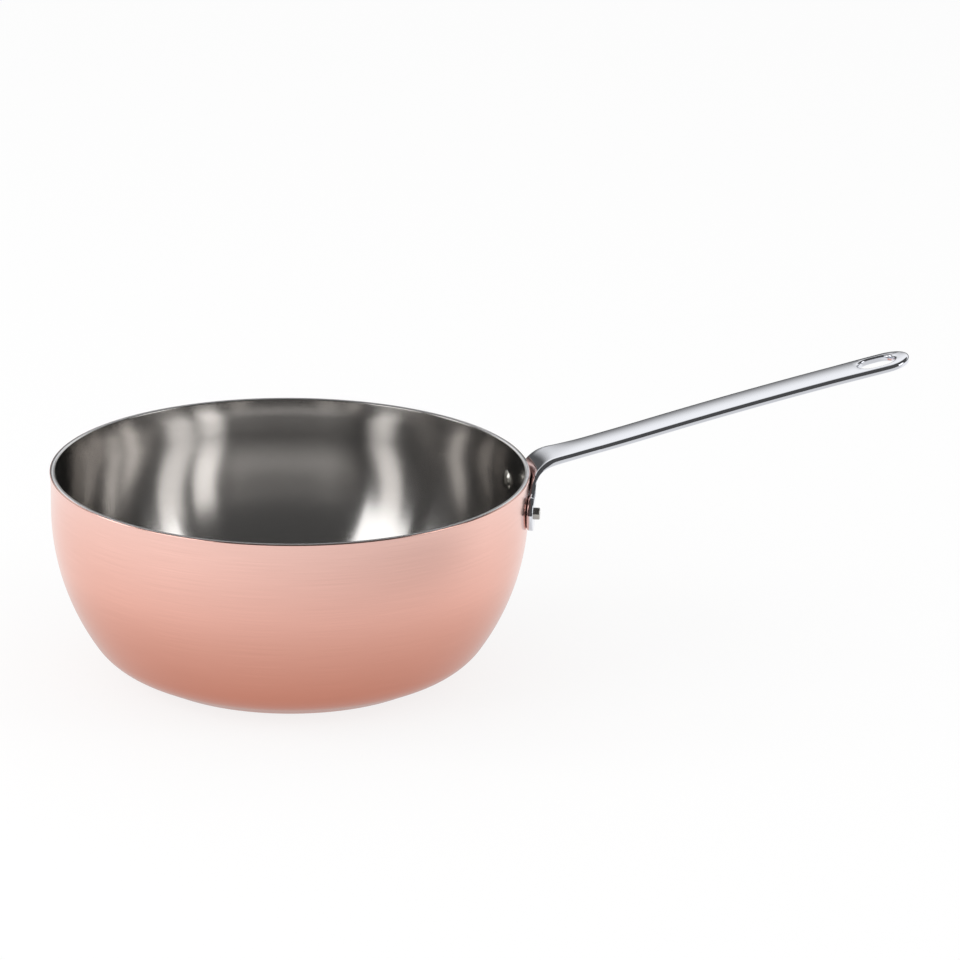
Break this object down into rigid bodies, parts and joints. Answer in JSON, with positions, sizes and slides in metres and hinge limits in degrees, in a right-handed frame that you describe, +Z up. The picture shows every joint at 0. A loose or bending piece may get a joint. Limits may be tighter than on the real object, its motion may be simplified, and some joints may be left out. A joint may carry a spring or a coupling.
{
  "type": "saucier pan",
  "caption": "Round saucier pan with a curved copper-clad body, a flat foot and a long riveted steel handle with a hanging hole.",
  "frame": {"origin": "centre of the flat foot, on the surface that the pan stands on", "axes": "+Z up along the pan's axis, +X along the handle, +Y to the left of the handle"},
  "size_m": [0.3607, 0.2, 0.1296],
  "materials": {
    "copper_outer_layer": "satin polished copper",
    "aluminium_core": "machined rim edge",
    "steel_lining": "brushed round the axis",
    "handle": "polished stainless steel",
    "front_rivet": "satin stainless steel",
    "rear_rivet": "satin stainless steel"
  },
  "bodies": {
    "root": {"copper_outer_layer": "copper_outer_layer", "aluminium_core": "aluminium_core", "steel_lining": "steel_lining", "handle": "handle", "front_rivet": "front_rivet", "rear_rivet": "rear_rivet"}
  },
  "joints": []
}
